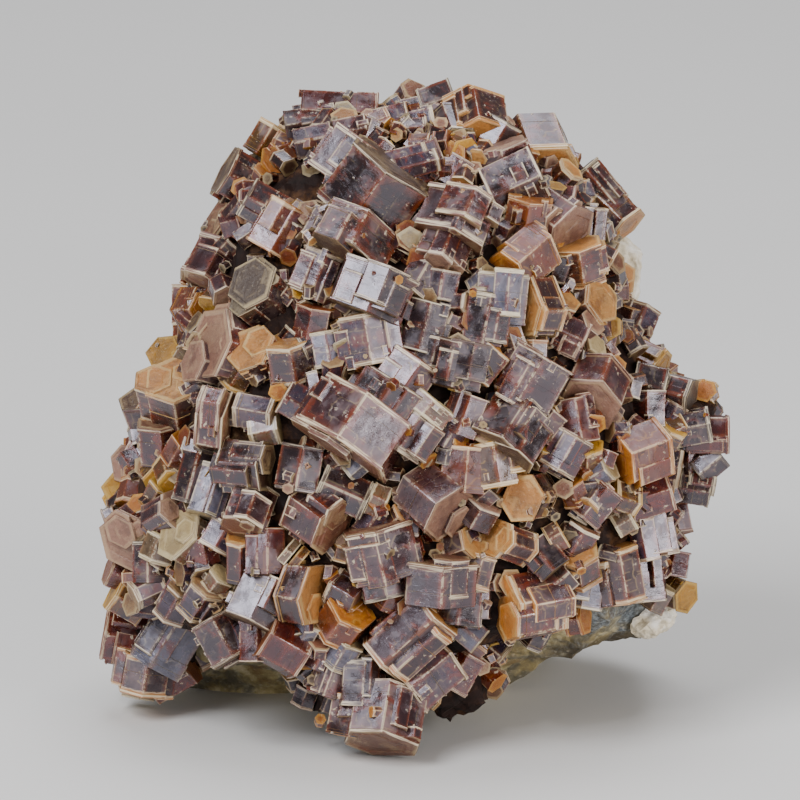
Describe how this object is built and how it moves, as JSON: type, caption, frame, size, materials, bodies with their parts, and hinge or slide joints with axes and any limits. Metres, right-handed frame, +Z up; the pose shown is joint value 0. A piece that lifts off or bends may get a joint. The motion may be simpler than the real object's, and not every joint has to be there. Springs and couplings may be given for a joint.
{
  "type": "vanadinite on matrix",
  "caption": "Mineral specimen: a crust of intergrown, short hexagonal vanadinite crystals over a rough rock matrix that stands on its flat underside.",
  "frame": {"origin": "bottom centre of the specimen's bounding box, on the plane that it stands on", "axes": "+Z up, the crystal-covered front faces -Y, +X is to the right seen from the front"},
  "size_m": [0.0626, 0.0533, 0.0632],
  "materials": {
    "matrix_rock": "rough mottled rock, cream with dark gray blotches",
    "vanadinite": "adamantine dark brown crystal faces with cream to orange-tan end faces",
    "calcite": "white granular calcite"
  },
  "bodies": {
    "root": {"matrix": "matrix_rock", "crystal_mass": "vanadinite", "calcite_lump_shoulder": "calcite", "calcite_lump_ledge": "calcite", "back_crystals_upper": "vanadinite", "back_crystals_middle": "vanadinite", "back_crystals_lower": "vanadinite"}
  },
  "joints": []
}
